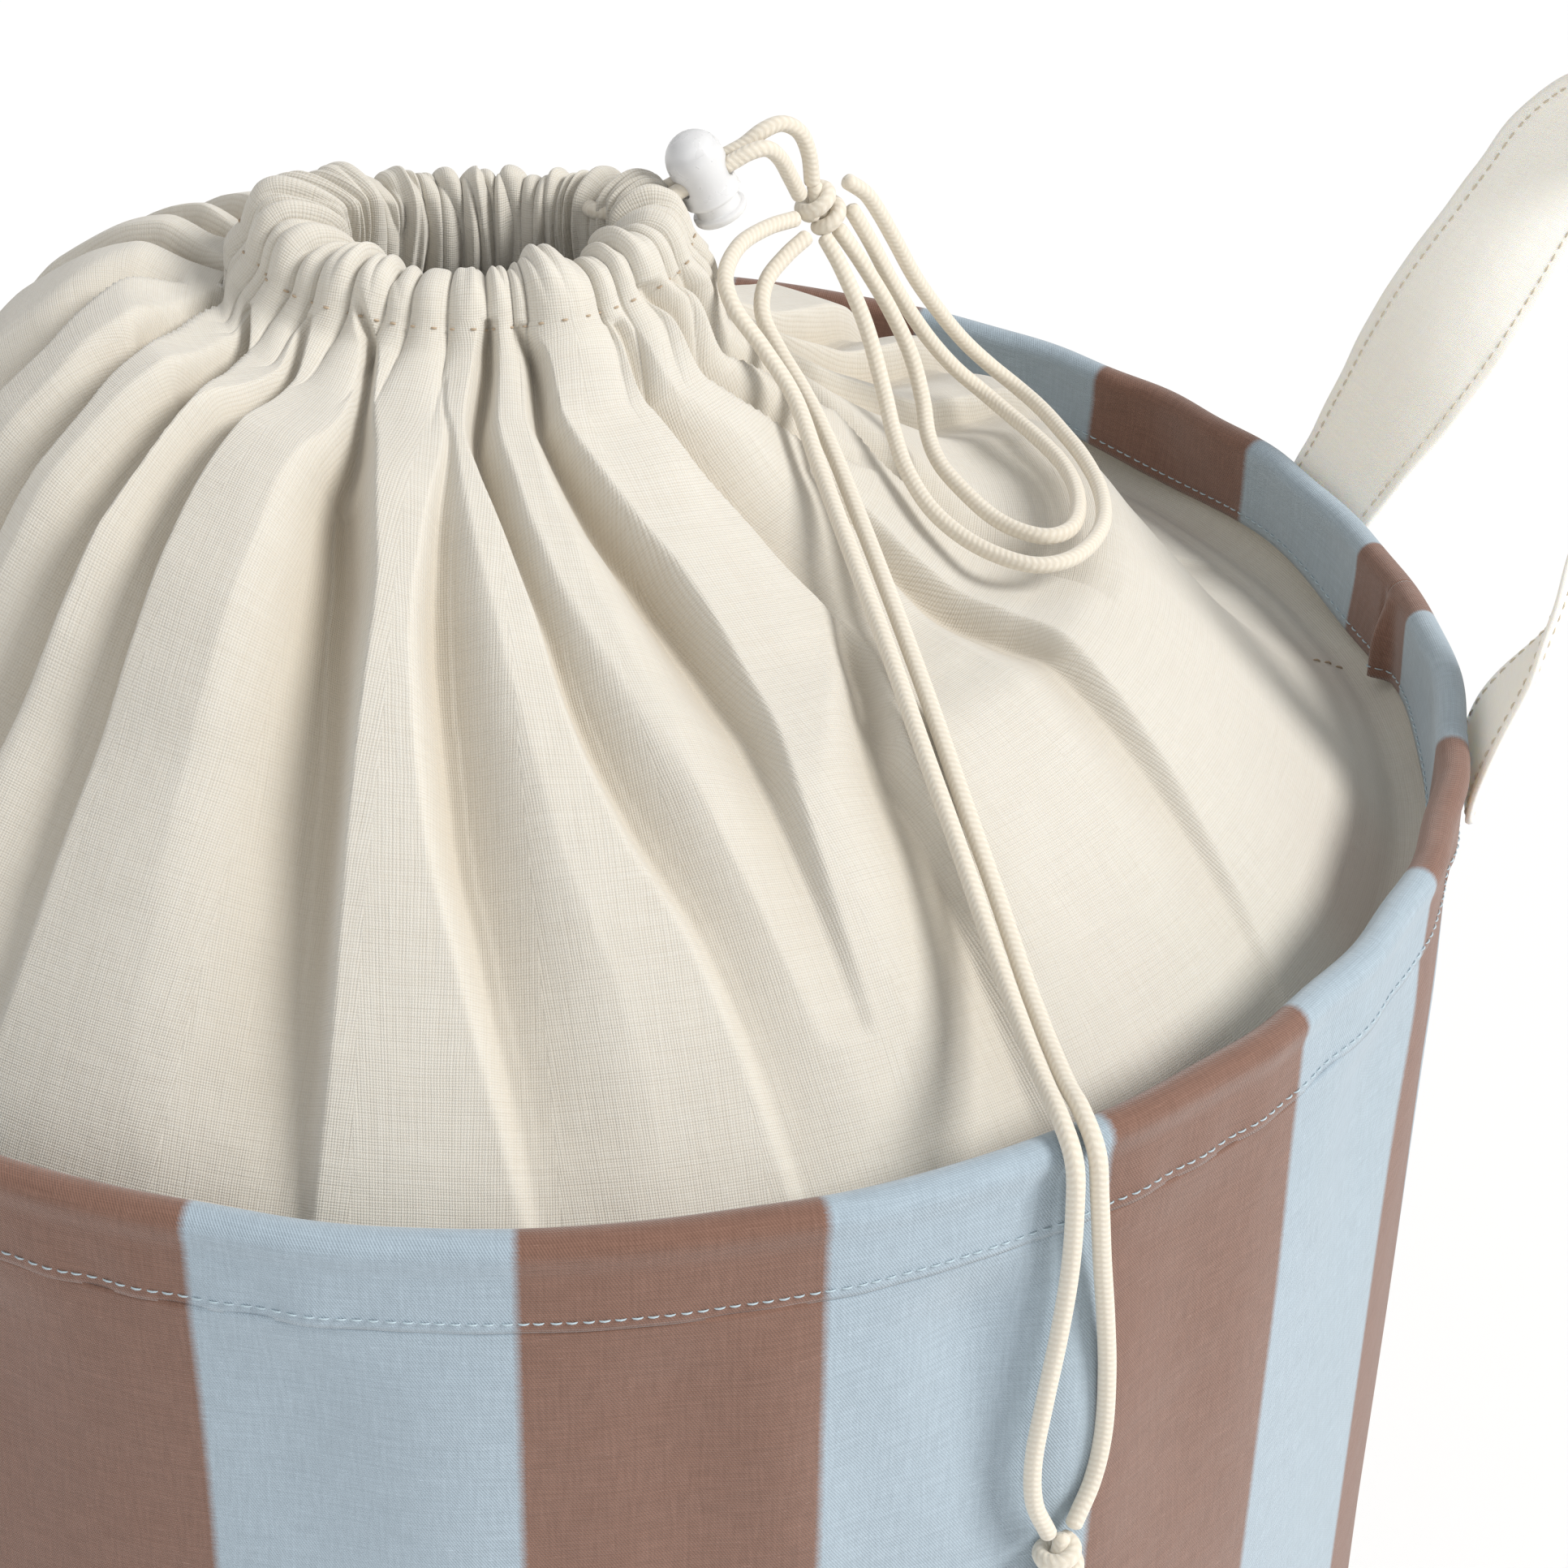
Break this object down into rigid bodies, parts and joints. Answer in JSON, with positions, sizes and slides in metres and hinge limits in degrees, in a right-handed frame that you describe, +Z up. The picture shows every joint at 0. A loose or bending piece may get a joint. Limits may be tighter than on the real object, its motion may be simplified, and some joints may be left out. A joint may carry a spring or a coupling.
{
  "type": "laundry bag",
  "caption": "Round laundry bag: striped canvas walls hung from a steel hoop, two cotton strap handles, and a gathered cover closed by a drawcord with a sprung cord lock.",
  "frame": {"origin": "centre of the underside, on the surface that the bag stands on", "axes": "+Z up, -Y towards the front, where the drawcord hangs over the rim, +X towards the right handle"},
  "size_m": [0.5954, 0.442, 0.627],
  "materials": {
    "canvas_striped": "yarn-dyed brown and pale blue stripes, twill weave",
    "canvas_plain": "pale blue canvas",
    "cover_cotton": "undyed open plain weave",
    "strap_cotton": "undyed twill strap, edge stitched",
    "cord_cotton": "undyed braided cotton",
    "lock_plastic": "translucent white, moulded",
    "spring_steel": "bright drawn wire"
  },
  "bodies": {
    "base": {"bag_base": "canvas_plain", "wall_front": "canvas_striped", "wall_back": "canvas_striped"},
    "rim": {"hem_front": "canvas_striped", "hem_back": "canvas_striped", "rim_hoop": "spring_steel", "hoop_ferrule": "spring_steel", "drawstring_cover": "cover_cotton", "drawstring_casing": "cover_cotton", "drawcord_in_casing": "cord_cotton", "cord_lead_upper": "cord_cotton", "cord_lead_lower": "cord_cotton", "cord_knot": "cord_cotton", "cord_loop_outer": "cord_cotton", "cord_loop_inner": "cord_cotton", "cord_tail_left": "cord_cotton", "cord_tail_right": "cord_cotton", "cord_end_knot": "cord_cotton", "cord_cut_end_left": "cord_cotton", "cord_cut_end_right": "cord_cotton", "handle_right_front_end": "strap_cotton", "handle_right_back_end": "strap_cotton", "handle_left_front_end": "strap_cotton", "handle_left_back_end": "strap_cotton"},
    "handle_right": {"handle_right": "strap_cotton"},
    "handle_left": {"handle_left": "strap_cotton"},
    "cord_lock": {"cord_lock_barrel": "lock_plastic", "cord_lock_spring": "spring_steel"},
    "lock_plunger": {"cord_lock_plunger": "lock_plastic"}
  },
  "joints": [
    {"name": "rim_collapse", "type": "slide", "parent": "base", "child": "rim", "axis": [0, 0, 1], "range_m": [-0.36, 0], "deforming": ["wall_front", "wall_back"]},
    {"name": "handle_right_swing", "type": "hinge", "parent": "rim", "child": "handle_right", "pos_m": [0.22191, 0.01552, 0.50589], "axis": [-0.0698, 0.9976, 0], "range_deg": [-25, 110]},
    {"name": "handle_left_swing", "type": "hinge", "parent": "rim", "child": "handle_left", "pos_m": [-0.22191, -0.01552, 0.50589], "axis": [0.0698, -0.9976, 0], "range_deg": [-25, 110]},
    {"name": "cord_lock_slide", "type": "slide", "parent": "rim", "child": "cord_lock", "axis": [0.8865, 0.1884, 0.4226], "range_m": [0, 0.003]},
    {"name": "lock_button_press", "type": "slide", "parent": "cord_lock", "child": "lock_plunger", "axis": [-0.4134, -0.0879, 0.9063], "range_m": [0, 0.003], "stiffness_N_per_m": 600, "springref_m": -0.002, "deforming": ["cord_lock_spring"]}
  ]
}
